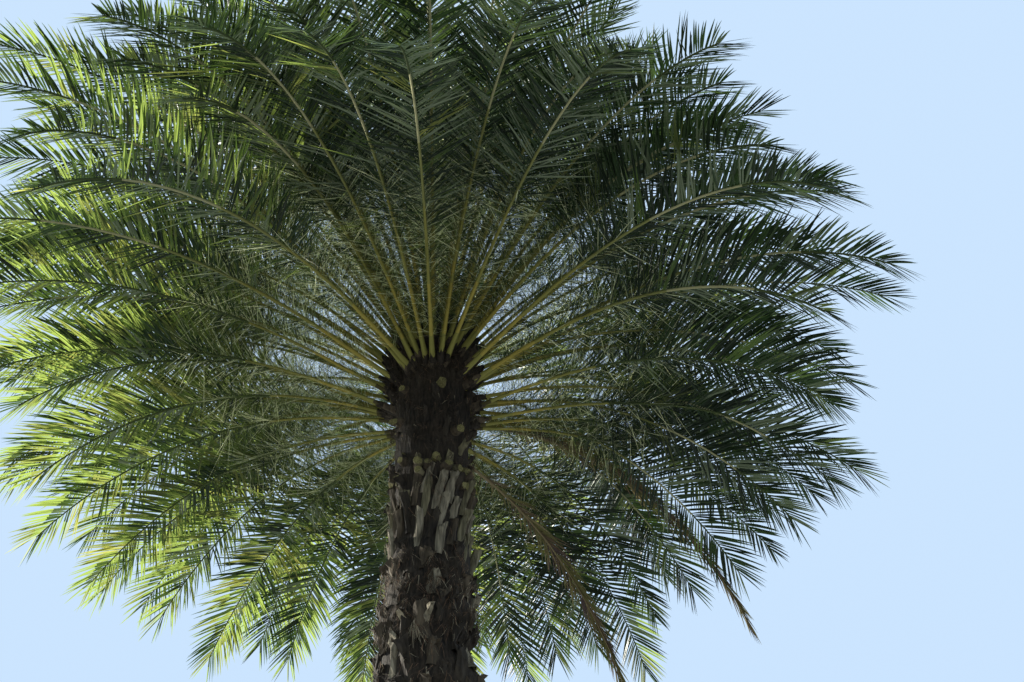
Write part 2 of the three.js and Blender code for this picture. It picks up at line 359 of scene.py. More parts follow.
def rib_toward(ring, direction, rise, reach_share, chance):
    """A rib in a direction in degrees, between the two solids of the ring that it falls between."""
    own = [RIBS[node] for node in RIBS if node.startswith(f"frond_{ring}_")]
    turns = [turn_between(direction * math.pi / 180, around_trunk(rib)[0][-1]) for rib in own]
    one = own[int(np.argmax([turn if turn < 0 else -math.inf for turn in turns]))]
    other = own[int(np.argmin([turn if turn >= 0 else math.inf for turn in turns]))]
    azimuth_one, reach_one, height_one = around_trunk(one)
    azimuth_other, reach_other, height_other = around_trunk(other)
    share = -max(turn for turn in turns if turn < 0)
    share /= share + min(turn for turn in turns if turn >= 0)
    azimuth = azimuth_one + share * turn_between(azimuth_one, azimuth_other)
    reach = (1 - share) * reach_one + share * reach_other
    height = (1 - share) * height_one + share * height_other + rise * (reach - reach[0])
    reach = reach[0] + (reach - reach[0]) * reach_share
    points = trunk_middle(height) + outward(azimuth) * reach[:, None]
    heading = unit(np.gradient(points, axis=0))
    turn = np.full(len(heading), chance.normal(0, UNEVEN_LEVEL))
    sides = np.stack([-heading[:, 1], heading[:, 0], turn], axis=-1)
    reaches = one.at(np.linspace(0, 1, STEPS_OF_GAP) * one.length)[4]
    return Rib(points, unit(sides), reaches)


chance = np.random.default_rng(SEED)
GREEN_FRONDS = {
    ring: [RIBS[node] for node in RIBS if node.startswith(f"frond_{ring}_")]
    + [rib_toward(ring, *line, chance) for line in GAP_FRONDS[ring]]
    for ring in GREEN_RINGS
}
print({ring: len(ribs) for ring, ribs in GREEN_FRONDS.items()})

# %% [markdown]
# ## Finishes of leaf and rib
# A palm leaflet is a leathery green blade with a waxy shine. The sky shines through it, yellower than what
# it reflects, and that is why a frond against the light glows. A leaf finish is therefore a shiny surface
# mixed with a translucent one. The waxy bloom is uneven, so noise drives the shine, and a fine noise stands
# for the veins. The greens differ from leaflet to leaflet: they are plain colours, and each small spray is
# given one of them. The greens are kept darker than a leaf's own, as painted shade, and the deep green most
# of all. The grey one is green under a thick bloom, so it shines most, and its pale grey is partly a
# painted sheen. The pale spine tone is brightened as painted light.

# %% Leaf finishes
WAX_SCALE = 9  # scales are in cells to the metre
VEIN_SCALE = 160
VEIN_HEIGHT = 0.0008
VEIN_STRENGTH = 0.35


def new_finish(name):
    """A new material, with its nodes, its links, its surface and its output."""
    finish = bpy.data.materials.new(name)
    finish.use_nodes = True
    nodes = finish.node_tree.nodes
    return finish, nodes, finish.node_tree.links, nodes["Principled BSDF"], nodes["Material Output"]


def noise_node(nodes, links, scale, detail=2.0, stretch=(1, 1, 1)):
    """A noise texture in metres. stretch above 1 draws it finer along that axis."""
    place = nodes.new("ShaderNodeTexCoord")
    mapping = nodes.new("ShaderNodeMapping")
    mapping.inputs["Scale"].default_value = stretch
    texture = nodes.new("ShaderNodeTexNoise")
    texture.inputs["Scale"].default_value = scale
    texture.inputs["Detail"].default_value = detail
    links.new(place.outputs["Object"], mapping.inputs["Vector"])
    links.new(mapping.outputs["Vector"], texture.inputs["Vector"])
    return texture


def uneven_shine(nodes, links, surface, texture, low, high):
    """Lets a noise drive the roughness between two values."""
    spread = nodes.new("ShaderNodeMapRange")
    spread.inputs["To Min"].default_value = low
    spread.inputs["To Max"].default_value = high
    links.new(texture.outputs["Fac"], spread.inputs["Value"])
    links.new(spread.outputs["Result"], surface.inputs["Roughness"])


def fine_bump(nodes, links, surface, texture, height, strength):
    """Lets a noise raise the surface by up to height metres."""
    bump = nodes.new("ShaderNodeBump")
    bump.inputs["Distance"].default_value = height
    bump.inputs["Strength"].default_value = strength
    links.new(texture.outputs["Fac"], bump.inputs["Height"])
    links.new(bump.outputs["Normal"], surface.inputs["Normal"])


def leaf_finish(name, face, glow, through, low=0.28, high=0.46, shine=0.18):
    """A waxy leaf: face is what it reflects, glow what shines through, and through the share of that."""
    finish, nodes, links, surface, output = new_finish(name)
    surface.inputs["Base Color"].default_value = (*face, 1)
    surface.inputs["Specular IOR Level"].default_value = shine
    uneven_shine(nodes, links, surface, noise_node(nodes, links, WAX_SCALE), low, high)
    fine_bump(nodes, links, surface, noise_node(nodes, links, VEIN_SCALE, 3), VEIN_HEIGHT, VEIN_STRENGTH)
    behind = nodes.new("ShaderNodeBsdfTranslucent")
    behind.inputs["Color"].default_value = (*glow, 1)
    mix = nodes.new("ShaderNodeMixShader")
    mix.inputs["Fac"].default_value = through
    links.new(surface.outputs["BSDF"], mix.inputs[1])
    links.new(behind.outputs["BSDF"], mix.inputs[2])
    links.new(mix.outputs["Shader"], output.inputs["Surface"])
    return finish


LEAF_FINISHES = [
    # The greens below are darker than a leaf's own, as painted shade; the deep green is mostly painted shade.
    leaf_finish("leaf_deep_green_painted_shade", (0.008, 0.016, 0.008), (0.08, 0.14, 0.020), 0.10),
    leaf_finish("leaf_green", (0.017, 0.032, 0.015), (0.18, 0.31, 0.05), 0.14),
    # The grey-green is partly the leaves' waxy bloom and partly a painted sheen.
    leaf_finish("leaf_grey_green_painted_sheen", (0.115, 0.145, 0.084), (0.22, 0.32, 0.08), 0.14, shine=0.36),
    leaf_finish("leaf_fresh_green", (0.034, 0.058, 0.020), (0.50, 0.66, 0.14), 0.32),
    leaf_finish("leaf_olive", (0.040, 0.049, 0.020), (0.50, 0.58, 0.13), 0.28),
    leaf_finish("leaf_yellowing", (0.12, 0.13, 0.040), (0.68, 0.70, 0.16), 0.36),
    # The pale spine tone is partly the spines' own straw colour and partly painted light.
    leaf_finish("spine_pale_painted_light", (0.520, 0.540, 0.310), (0.95, 1.00, 0.62), 0.50),
]
DEEP_GREEN_SHADE, GREEN, GREY_GREEN_SHEEN, FRESH, OLIVE, YELLOW, PALE_SPINE_PAINTED_LIGHT = range(7)
DRY_FINISHES = [
    leaf_finish("dry_olive", (0.120, 0.112, 0.040), (0.26, 0.23, 0.07), 0.18, 0.6, 0.85),
    leaf_finish("dry_straw", (0.190, 0.155, 0.075), (0.34, 0.27, 0.11), 0.18, 0.6, 0.85),
    leaf_finish("dry_brown", (0.105, 0.076, 0.044), (0.18, 0.12, 0.06), 0.15, 0.65, 0.9),
    leaf_finish("dry_purple_brown", (0.072, 0.052, 0.048), (0.12, 0.08, 0.06), 0.12, 0.65, 0.9),
]
DRY_OLIVE, DRY_STRAW, DRY_BROWN, DRY_PURPLE = range(4)


STALK_SHINE = 0.15
MOTTLE_SCALE = 30
SKIN_SCALE = 220
SKIN_HEIGHT = 0.0006
SKIN_STRENGTH = 0.4


def stalk_finish(name, colour, low=0.60, high=0.80):
    """The hard matt skin of a stalk or rib, faintly mottled."""
    finish, nodes, links, surface, _ = new_finish(name)
    surface.inputs["Base Color"].default_value = (*colour, 1)
    surface.inputs["Specular IOR Level"].default_value = STALK_SHINE
    uneven_shine(nodes, links, surface, noise_node(nodes, links, MOTTLE_SCALE), low, high)
    fine_bump(nodes, links, surface, noise_node(nodes, links, SKIN_SCALE, 3), SKIN_HEIGHT, SKIN_STRENGTH)
    return finish


STALK_FINISHES = [
    stalk_finish("stalk_brown", (0.052, 0.044, 0.015)),
    stalk_finish("stalk_golden", (0.270, 0.225, 0.048)),
    stalk_finish("stalk_olive", (0.188, 0.180, 0.046)),
    stalk_finish("rib_yellow_green", (0.165, 0.170, 0.055)),
    stalk_finish("rib_tan", (0.300, 0.290, 0.150)),
    stalk_finish("rib_green", (0.050, 0.068, 0.022)),
    stalk_finish("rib_dry", (0.150, 0.120, 0.062), 0.7, 0.9),
]
BROWN_STALK, GOLDEN, OLIVE_STALK, YELLOW_RIB, TAN_RIB, GREEN_RIB, DRY_RIB = range(7)
print("finishes of leaf and rib:", len(LEAF_FINISHES) + len(DRY_FINISHES) + len(STALK_FINISHES))

# %% [markdown]
# ## Stalks and ribs
# A frond's stalk is broad and channelled where it clasps the trunk, and golden from years in the sun. It
# narrows quickly into the rib, which is tan underneath and only a few millimetres thick at its tip. A tube
# with ten corners, channelled above and rounded below, is drawn along each measured rib. The fronds in
# front turn the underside of their ribs to the light of the sky, so these are the widest. Elsewhere the
# lowest ring hangs in the crown's own shade, and its ribs are given a dark green from early on as painted
# shade.

# %% Ribs of the green fronds
STALK_SECTION = np.array(
    [(1, 0.3), (0.5, 0.12), (0, 0.02), (-0.5, 0.12), (-1, 0.3), (-0.85, -0.3), (-0.4, -0.85), (0, -1),
     (0.4, -0.85), (0.85, -0.3)]
)  # across and up, as shares of half the width and of the depth
RIB_STATIONS = 26
FOOT_CROWDING = 1.3  # above 1, the stations lie closer together towards the foot
RIB_RUN = np.array([0.0, 0.15, 0.5, 1.0, 1.6, 2.2, 3.2])  # metres from the trunk
RIB_HALF_WIDTH = np.array([0.0130, 0.0092, 0.0076, 0.0056, 0.0044, 0.0034, 0.0022])
RIB_DEPTH = np.array([0.0140, 0.0110, 0.0092, 0.0072, 0.0056, 0.0044, 0.0028])
RIB_BARE_TIP = 0.16  # how far short of the blade's tip the rib ends, where the last leaflets go on
SUNK = 0.05  # how deep a stalk's foot is in the fibre of the trunk


def rib_tube(patches, rib, tones, end, width=1.0):
    """Adds the tube of one rib. tones gives its colours from foot to tip."""
    share = np.linspace(0, 1, RIB_STATIONS) ** FOOT_CROWDING
    run = share * (rib.length - end)
    place, along, side, up, _ = rib.at(run)
    place[0] -= along[0] * SUNK
    half = width * np.interp(run, RIB_RUN, RIB_HALF_WIDTH)
    depth = width * np.interp(run, RIB_RUN, RIB_DEPTH)
    rings = section_rings(place, side, up, half, depth, STALK_SECTION)
    tone = np.asarray(tones)[np.minimum((share[:-1] * len(tones)).astype(int), len(tones) - 1)]
    patches.tubes(rings[None], tone[None])


GREEN_TONES = [OLIVE_STALK] * 3 + [GOLDEN] * 6 + [OLIVE_STALK] * 8
GREEN_TONES += [YELLOW_RIB] * 8 + [TAN_RIB] * 13 + [GREEN_RIB] * 10
# Ribs of the lowest ring away from the front: their early dark green is painted shade.
PAINTED_SHADE_TONES = [BROWN_STALK] + [OLIVE_STALK] * 3 + [GOLDEN] * 4 + [OLIVE_STALK] * 8 + [GREEN_RIB] * 32
FRONT_FROM = -0.45  # the sine of a frond's direction under which it hangs in front
WIDTH_IN_FRONT = 1.25
green_nodes = [node for node in RIBS if "dry" not in node]
green_ribs = Patches()
for ring, fronds in GREEN_FRONDS.items():
    for rib in fronds:
        in_front = math.sin(around_trunk(rib)[0][-1]) < FRONT_FROM
        tones = PAINTED_SHADE_TONES if ring == "lowest" and not in_front else GREEN_TONES
        rib_tube(green_ribs, rib, tones, RIB_BARE_TIP, WIDTH_IN_FRONT if in_front else 1.0)
stand_for(green_ribs.piece("ribs_of_green_fronds", STALK_FINISHES, smooth=True), green_nodes)

# %% [markdown]
# ## Leaflets
# A leaflet is a stiff narrow blade, folded into a V that opens upwards, about a centimetre and a half wide
# and as long as a forearm. Leaflets leave the rib in two rows, at more than 50 degrees for most of the
# frond and almost straight ahead at its tip. They stand in small groups that lean a little up or down, and
# each differs a little. The function works out all leaflets of a frond at once: one row of numbers for each
# leaflet.

# %% One function for every kind of leaflet
LEAFLET_PLACES = np.array([0.0, 0.10, 0.35, 0.68, 0.90])
LEAFLET_WIDTHS = np.array([0.30, 0.75, 1.0, 0.72, 0.30])  # shares of the full width
DOWN = np.array([0.0, 0.0, -1.0])


def turned(vectors, axes, angles):
    """Vectors turned about axes of length 1."""
    angles = angles[:, None]
    along = (axes * vectors).sum(axis=1, keepdims=True) * axes
    return vectors * np.cos(angles) + np.cross(axes, vectors) * np.sin(angles) + along * (1 - np.cos(angles))


def leaflet_strips(patches, foot, along, side, up, leaf, finishes, places=LEAFLET_PLACES):
    """Adds leaflets. side points to the leaflet's own side of the rib. leaf holds, for each leaflet, the
    angles out from the rib and up from flat, length, width, sag, bow towards the tip, turn about itself, and
    fold. finishes has a row for each leaflet, and in it one finish for each place along the leaflet."""
    out = np.cos(leaf["lift"])[:, None] * side + np.sin(leaf["lift"])[:, None] * up
    heading = np.cos(leaf["angle"])[:, None] * along + np.sin(leaf["angle"])[:, None] * out
    face = np.cos(leaf["lift"])[:, None] * up - np.sin(leaf["lift"])[:, None] * side
    face = turned(face, heading, leaf["turn"])
    t = places[None, :, None]
    bend = leaf["bow"][:, None] * along + leaf["sag"][:, None] * DOWN
    length = leaf["length"][:, None, None]
    middle = foot[:, None] + length * (heading[:, None] * t + bend[:, None] * t**2)
    tips = foot + leaf["length"][:, None] * (heading + bend)
    course = unit(heading[:, None] + 2 * bend[:, None] * t)
    face = unit(face[:, None] - (face[:, None] * course).sum(axis=-1, keepdims=True) * course)
    across = np.cross(face, course)
    widths = np.interp(places, LEAFLET_PLACES, LEAFLET_WIDTHS)
    half = 0.5 * leaf["width"][:, None, None] * widths[None, :, None]
    fold = leaf["fold"][:, None, None]
    left = middle + half * (np.cos(fold) * across + np.sin(fold) * face)
    right = middle + half * (-np.cos(fold) * across + np.sin(fold) * face)
    patches.strips(np.stack([left, middle, right], axis=2), tips, finishes)


# %% The two rows of leaflets of a frond
DEG = math.pi / 180
FROND_SHARES = np.array([0.0, 0.12, 0.35, 0.7, 0.9, 1.0])  # from the first leaflet to the last
GREEN_LEAVES = {
    "first": 0.82,  # metres from the trunk
    "spacing": 0.0155,
    "angle": np.array([68, 64, 58, 50, 38, 20]) * DEG,
    "lift": np.array([28, 26, 21, 15, 10, 6]) * DEG,
    "length": np.array([0.24, 0.30, 0.320, 0.280, 0.215, 0.165]),
    "width": np.array([0.0075, 0.0120, 0.0150, 0.0145, 0.0122, 0.009]),
    "spread": np.array([30, 18, 9, 7, 5, 5]) * DEG,
    "sag": 0.05,
    "bow": 0.07,
    "fold": 28 * DEG,
}
FULL_REACH = 0.262  # half the width of a full blade
SMALLEST_SIZE = 0.75  # of a narrow blade's leaflets, as a share of the full size
GROUP = 3  # leaflets that lean together
GROUP_LEAN = 8 * DEG
ANGLE_SPREAD = 0.6  # as a share of the spread up and down
UNEVEN_PLACE = 0.3  # of the spacing, either way
LENGTH_RANGE = (0.9, 1.08)
WIDTH_RANGE = (0.88, 1.12)
BEND_RANGE = (0.3, 1.7)
FOLD_RANGE = (0.75, 1.25)
TURN = 12 * DEG  # of a leaflet about itself, and how much it varies
TURN_SPREAD = 14 * DEG
SPRAY = 4  # leaflets that share a colour
# A lighter outer half of a leaflet is painted light: where it starts, and the lighter tone of each green.
PAINTED_LIGHT_FROM = 2  # the place along a leaflet where its lighter half starts
PAINTED_LIGHT_TONE = np.array([GREEN, FRESH, FRESH, OLIVE, FRESH, YELLOW, PALE_SPINE_PAINTED_LIGHT])  # the lighter tone of each


def rows_of_leaflets(patches, rib, leaves, tones, chances, chance, end=RIB_BARE_TIP, painted_light=0.0):
    """Adds both rows of leaflets of one frond. tones are finishes, and chances how often each is dealt.
    painted_light is the share of sprays whose outer half is of a lighter tone, as painted light."""
    last = rib.length - end
    count = int((last - leaves["first"]) / leaves["spacing"])
    size = min(1.0, max(SMALLEST_SIZE, rib.reaches.max() / FULL_REACH))
    for hand in (1, -1):
        number = np.arange(count) + chance.uniform(-UNEVEN_PLACE, UNEVEN_PLACE, count)
        share = np.clip(number / (count - 1), 0, 1)
        place, along, side, up, _ = rib.at(leaves["first"] + share * (last - leaves["first"]))
        usual = {
            value: np.interp(share, FROND_SHARES, leaves[value])
            for value in ("angle", "lift", "spread", "length", "width")
        }
        group = np.repeat(chance.normal(0, GROUP_LEAN, count // GROUP + 1), GROUP)[:count]
        leaf = {
            "angle": usual["angle"] + ANGLE_SPREAD * usual["spread"] * chance.normal(size=count),
            "lift": usual["lift"] + group + usual["spread"] * chance.normal(size=count),
            "length": size * usual["length"] * chance.uniform(*LENGTH_RANGE, count),
            "width": usual["width"] * chance.uniform(*WIDTH_RANGE, count),
            "sag": leaves["sag"] * chance.uniform(*BEND_RANGE, count),
            "bow": leaves["bow"] * chance.uniform(*BEND_RANGE, count),
            "turn": hand * chance.normal(TURN, TURN_SPREAD, count),
            "fold": leaves["fold"] * chance.uniform(*FOLD_RANGE, count),
        }
        sprays = chance.choice(tones, size=count // SPRAY + 1, p=chances)
        sprays = np.repeat(np.repeat(sprays[:, None], len(LEAFLET_PLACES), axis=1), SPRAY, axis=0)[:count]
        # Sprays whose outer half is painted light.
        tips = np.repeat(chance.uniform(0, 1, count // SPRAY + 1) < painted_light, SPRAY)[:count]
        sprays[tips, PAINTED_LIGHT_FROM:] = PAINTED_LIGHT_TONE[sprays[tips, PAINTED_LIGHT_FROM:]]
        leaflet_strips(patches, place, along, hand * side, up, leaf, sprays)


# %% [markdown]
# ## Dressing the rings of fronds
# Five rings of fronds make the crown. Each green is dealt by direction as painted light and shade: towards
# the sun the greens are lighter and yellower, as painted light, those in front are grey-green, partly bloom
# and partly a painted sheen, and those on the shady side are a deep green, as painted shade: so the share of
# each green changes round the crown. On the sunny side most leaflets are lighter still in their outer half,
# painted light where nothing shades them. Low on each rib the leaflets shrink to spines, which stick out
# every way and make a fine net round the crown's heart. The spines are paler on the sunny side, as painted
# light, and darker on the shady side, as painted shade.

# %% Leaflets and spines of the green fronds
SUNNY_SIDE = 155 * DEG  # the direction of the fronds that get the most sun
LEAF_TONES = [DEEP_GREEN_SHADE, GREEN, GREY_GREEN_SHEEN, FRESH, OLIVE, YELLOW]
# Deep green on the shady side is painted shade, lighter greens towards the sun are painted light, and
# grey-green in front is partly a painted sheen.
PAINTED_SHADE_CHANCES = np.array([0.50, 0.34, 0.11, 0.03, 0.018, 0.002])
PAINTED_LIGHT_CHANCES = np.array([0.08, 0.33, 0.16, 0.28, 0.12, 0.03])
PAINTED_SHEEN_CHANCES = np.array([0.27, 0.25, 0.40, 0.04, 0.036, 0.004])
# How much painted light each ring's greens get.
PAINTED_LIGHT_OF_RING = {"lowest": 1.0, "low": 0.6, "spreading": 0.3, "rising": 0.15, "inner": 0.2}  # its share of sun
# The lighter outer half is painted light.
PAINTED_LIGHT_AT_MOST = 0.9  # the share of sprays with a lighter outer half, straight towards the sun


def sunny_share(direction):
    """1 for a direction straight towards the sun, and 0 for one straight away from it."""
    return (1 + math.cos(direction - SUNNY_SIDE)) / 2


def chances_of(direction, glow):
    """How often each green is dealt to a frond in a direction, as painted light and shade: lighter greens
    towards the sun, deep green away from it, and grey-green, partly a painted sheen, to the front, which is
    -Y. glow is the ring's share of that painted light.
    """
    sunny = glow * sunny_share(direction) ** 2
    front = max(0.0, -math.sin(direction)) ** 2
    by_side = sunny * PAINTED_LIGHT_CHANCES + (1 - sunny) * PAINTED_SHADE_CHANCES
    return front * PAINTED_SHEEN_CHANCES + (1 - front) * by_side


SPINES = {
    "first": 0.14,
    "last": 1.10,
    "spacing": 0.0170,
    "length": np.array([0.10, 0.29]),
    "width": np.array([0.0026, 0.0042]),
    "length_range": (0.7, 1.2),
    "angle": (60 * DEG, 18 * DEG),  # and how much it varies
    "lift": (10 * DEG, 42 * DEG),
    "sag": (-0.04, 0.08),
    "bow": (0, 0.1),
    "fold": 30 * DEG,
}
SPINE_ROWS = 3  # on each side of the rib
SPINE_PLACES = LEAFLET_PLACES[:3:2]
SPINE_STEPS = np.arange(len(SPINE_PLACES))
# Pale spines are painted light on the sunny side, and deep green ones painted shade on the shady side.
SPINE_TONES = [PALE_SPINE_PAINTED_LIGHT, FRESH, OLIVE, GREEN, DEEP_GREEN_SHADE]
PAINTED_SHADE_SPINES = np.array([0.14, 0.07, 0.08, 0.25, 0.46])
PAINTED_LIGHT_SPINES = np.array([0.36, 0.26, 0.14, 0.08, 0.16])


def spines_of(patches, rib, chance):
    """Adds the spines low on one rib, in rows on both sides, longer towards the leaflets."""
    sunny = sunny_share(around_trunk(rib)[0][-1])
    chances = sunny * PAINTED_LIGHT_SPINES + (1 - sunny) * PAINTED_SHADE_SPINES
    count = int((SPINES["last"] - SPINES["first"]) / SPINES["spacing"])
    for hand in (1, -1):
        for _ in range(SPINE_ROWS):
            share = chance.uniform(0, 1, count)
            place, along, side, up, _ = rib.at(SPINES["first"] + share * (SPINES["last"] - SPINES["first"]))
            length = np.interp(share, [0, 1], SPINES["length"])
            leaf = {
                "angle": chance.normal(*SPINES["angle"], count),
                "lift": chance.normal(*SPINES["lift"], count),
                "length": length * chance.uniform(*SPINES["length_range"], count),
                "width": np.interp(share, [0, 1], SPINES["width"]),
                "sag": chance.uniform(*SPINES["sag"], count),
                "bow": chance.uniform(*SPINES["bow"], count),
                "turn": chance.uniform(-1, 1, count),
                "fold": np.full(count, SPINES["fold"]),
            }
            finishes = chance.choice(SPINE_TONES, size=(count, 1), p=chances) + 0 * SPINE_STEPS
            leaflet_strips(patches, place, along, hand * side, up, leaf, finishes, SPINE_PLACES)


for number, ring in enumerate(GREEN_RINGS):
    chance = np.random.default_rng(SEED + number)
    leaflets, spines = Patches(), Patches()
    nodes = [node for node in green_nodes if node.startswith(f"frond_{ring}_")]
    for rib in GREEN_FRONDS[ring]:
        direction = around_trunk(rib)[0][-1]
        chances = chances_of(direction, PAINTED_LIGHT_OF_RING[ring])
        painted_light = PAINTED_LIGHT_AT_MOST * sunny_share(direction) ** 2
        rows_of_leaflets(leaflets, rib, GREEN_LEAVES, LEAF_TONES, chances, chance, painted_light=painted_light)
        spines_of(spines, rib, chance)
    stand_for(leaflets.piece(f"leaflets_{ring}", LEAF_FINISHES, smooth=False), nodes)
    stand_for(spines.piece(f"spines_{ring}", LEAF_FINISHES, smooth=False), nodes)

# %% [markdown]
# ## Dry fronds
# Two of the oldest fronds have dried. Their leaflets have closed along the rib into a ragged olive-brown
# band that thins towards its end. They are made as the green ones are, with small angles, a sharper fold
# and dry colours.

# %% Dry fronds
DRY_LEAVES = {
    "first": 0.30,
    "spacing": 0.017,
    "angle": np.array([26, 22, 17, 12, 8, 6]) * DEG,
    "lift": np.array([8, 0, -8, -10, -10, -5]) * DEG,
    "length": np.array([0.16, 0.26, 0.32, 0.30, 0.24, 0.18]),
    "width": np.array([0.007, 0.011, 0.013, 0.012, 0.010, 0.008]),
    "spread": np.array([15, 13, 10, 9, 8, 6]) * DEG,
    "sag": 0.04,
    "bow": 0.02,
    "fold": 50 * DEG,
}
DRY_TONES = ([DRY_OLIVE, DRY_STRAW, DRY_BROWN, DRY_PURPLE], [0.56, 0.12, 0.20, 0.12])
DRY_LEAFLESS_TIP = 0.1
DRY_BARE_TIP = 0.02
chance = np.random.default_rng(SEED + 20)
dry_nodes = [node for node in RIBS if "dry" in node]
dry_leaflets, dry_ribs = Patches(), Patches()
for node in dry_nodes:
    rows_of_leaflets(dry_leaflets, RIBS[node], DRY_LEAVES, *DRY_TONES, chance, end=DRY_LEAFLESS_TIP)
    rib_tube(dry_ribs, RIBS[node], [DRY_RIB], DRY_BARE_TIP)
stand_for(dry_leaflets.piece("leaflets_of_dry_fronds", DRY_FINISHES, smooth=False), dry_nodes)
stand_for(dry_ribs.piece("ribs_of_dry_fronds", STALK_FINISHES, smooth=True), dry_nodes)

# %% [markdown]
# ## The heart of the crown
# On top of the trunk the youngest fronds stand almost upright, and each older one leans out further than
# the last. They follow each other round the trunk by the golden angle, as all leaves of a palm do. The
# bundle's solid gives their foot, their top and their reach, and the outer ones lean out past it. The young
# fronds get short leaflets that still point forward, in fresh greens.

# %% Young fronds
GOLDEN_ANGLE = math.pi * (3 - math.sqrt(5))
YOUNG_COUNT = 22
YOUNG_LEAVES = {
    "first": 0.42,
    "spacing": 0.024,
    "angle": np.array([40, 46, 44, 38, 30, 16]) * DEG,
    "lift": np.array([30, 26, 22, 18, 14, 10]) * DEG,
    "length": np.array([0.12, 0.20, 0.27, 0.26, 0.22, 0.17]),
    "width": np.array([0.008, 0.011, 0.015, 0.015, 0.012, 0.010]),
    "spread": np.array([10, 7, 5, 4, 4, 4]) * DEG,
    "sag": 0.01,
    "bow": 0.06,
    "fold": 38 * DEG,
}
heart = corners_of("young_fronds")
heart_foot, heart_top = heart[:, 2].min(), heart[:, 2].max()
heart_middle = trunk_middle(TRUNK_TOP)[:2]
heart_reach = np.linalg.norm(heart[:, :2] - heart_middle, axis=1).max()


YOUNG_STATIONS = 9
YOUNG_FOOT_SHARE = (0.35, 0.80)  # of the trunk's radius, for the most upright and for the outermost
YOUNG_FOOT_SUNK = 0.1
YOUNG_TIP_DROP = (0.12, 0.62)  # metres below the top for the most upright, and what the outermost adds
YOUNG_TIP_CURVE = 1.5  # above 1, the tips come down more towards the outermost
YOUNG_REACH = (0.04, 1.6)  # metres, and how many times the solid's reach for the outermost
YOUNG_REACH_CURVE = 1.7  # above 1, a rib leans out more towards its tip
YOUNG_DROOP = 0.12


def young_rib(azimuth, lean):
    """The rib of a young frond. lean is 0 for the most upright and 1 for the outermost."""
    t = np.linspace(0, 1, YOUNG_STATIONS)
    foot = trunk_radius(TRUNK_TOP) * np.interp(lean, [0, 1], YOUNG_FOOT_SHARE)
    low = heart_foot - YOUNG_FOOT_SUNK
    high = heart_top - YOUNG_TIP_DROP[0] - YOUNG_TIP_DROP[1] * lean**YOUNG_TIP_CURVE
    reach = foot + (YOUNG_REACH[1] * heart_reach * lean + YOUNG_REACH[0] - foot) * t**YOUNG_REACH_CURVE
    height = low + (high - low) * (1 - YOUNG_DROOP * lean * t) * t / (1 - YOUNG_DROOP * lean)
    level = np.append(heart_middle, 0) + reach[:, None] * outward(np.array(azimuth))
    points = np.column_stack([level[:, :2], height])
    sides = np.tile(outward(np.array(azimuth + math.pi / 2)), (len(t), 1))
    return Rib(points, sides, np.full(len(t), FULL_REACH))


YOUNG_TONES = ([GREEN, FRESH, GREY_GREEN_SHEEN, OLIVE], [0.34, 0.44, 0.12, 0.10])
YOUNG_RIB_TONES = [GOLDEN, OLIVE_STALK, YELLOW_RIB, YELLOW_RIB, GREEN_RIB]
YOUNG_BARE_TIP = 0.12
YOUNG_RIB_WIDTH = 0.8
chance = np.random.default_rng(SEED + 30)
young_leaflets, young_ribs = Patches(), Patches()
for i in range(YOUNG_COUNT):
    rib = young_rib(i * GOLDEN_ANGLE, (i + 0.5) / YOUNG_COUNT)
    rows_of_leaflets(young_leaflets, rib, YOUNG_LEAVES, *YOUNG_TONES, chance, end=YOUNG_BARE_TIP)
    rib_tube(young_ribs, rib, YOUNG_RIB_TONES, YOUNG_BARE_TIP, YOUNG_RIB_WIDTH)
young_leaflets = young_leaflets.piece("leaflets_of_young_fronds", LEAF_FINISHES, smooth=False)
young_ribs = young_ribs.piece("ribs_of_young_fronds", STALK_FINISHES, smooth=True)
for piece in (young_leaflets, young_ribs):
    stand_for(piece, ["young_fronds"])

# %% [markdown]
# ## Bark finishes
# The stubs of the old leaf bases are grey-tan and ribbed lengthwise, the mat of fibres between them is dark
# brown, and a fresh cut is pale. The mat, the dark stubs and the dark fibres are darker still, as painted
# shade between the stubs and under the crown. Each finish is a noise between a dark and a light tone, drawn
# out along the trunk but for cuts and fibres, and the same noise makes the grooves. Old stubs weather at
# different speeds, so there are several tones of them.

# %% Bark finishes
BLOTCH_SCALE = 5
BLOTCH_SHARE = 0.35
DARK_AT = 0.36  # of the noise, where the dark tone ends and the light one begins
LIGHT_AT = 0.64
BARK_SHINE = 0.25
BARK_ROUGHNESS = 0.92
GROOVE_STRENGTH = 0.9


def bark_finish(name, dark, light, scale, stretch, height):
    """Fibrous bark between two tones. stretch below 1 in Z draws the grain out along the trunk."""
    finish, nodes, links, surface, _ = new_finish(name)
    grain = noise_node(nodes, links, scale, 8.0, stretch)
    blotches = noise_node(nodes, links, BLOTCH_SCALE, 3.0)
    both = nodes.new("ShaderNodeMix")
    both.inputs["Factor"].default_value = BLOTCH_SHARE
    links.new(grain.outputs["Fac"], both.inputs["A"])
    links.new(blotches.outputs["Fac"], both.inputs["B"])
    ramp = nodes.new("ShaderNodeValToRGB")
    for element, position, colour in zip(ramp.color_ramp.elements, (DARK_AT, LIGHT_AT), (dark, light)):
        element.position = position
        element.color = (*colour, 1)
    links.new(both.outputs["Result"], ramp.inputs["Fac"])
    links.new(ramp.outputs["Color"], surface.inputs["Base Color"])
    surface.inputs["Roughness"].default_value = BARK_ROUGHNESS
    surface.inputs["Specular IOR Level"].default_value = BARK_SHINE
    fine_bump(nodes, links, surface, grain, height, GROOVE_STRENGTH)
    return finish


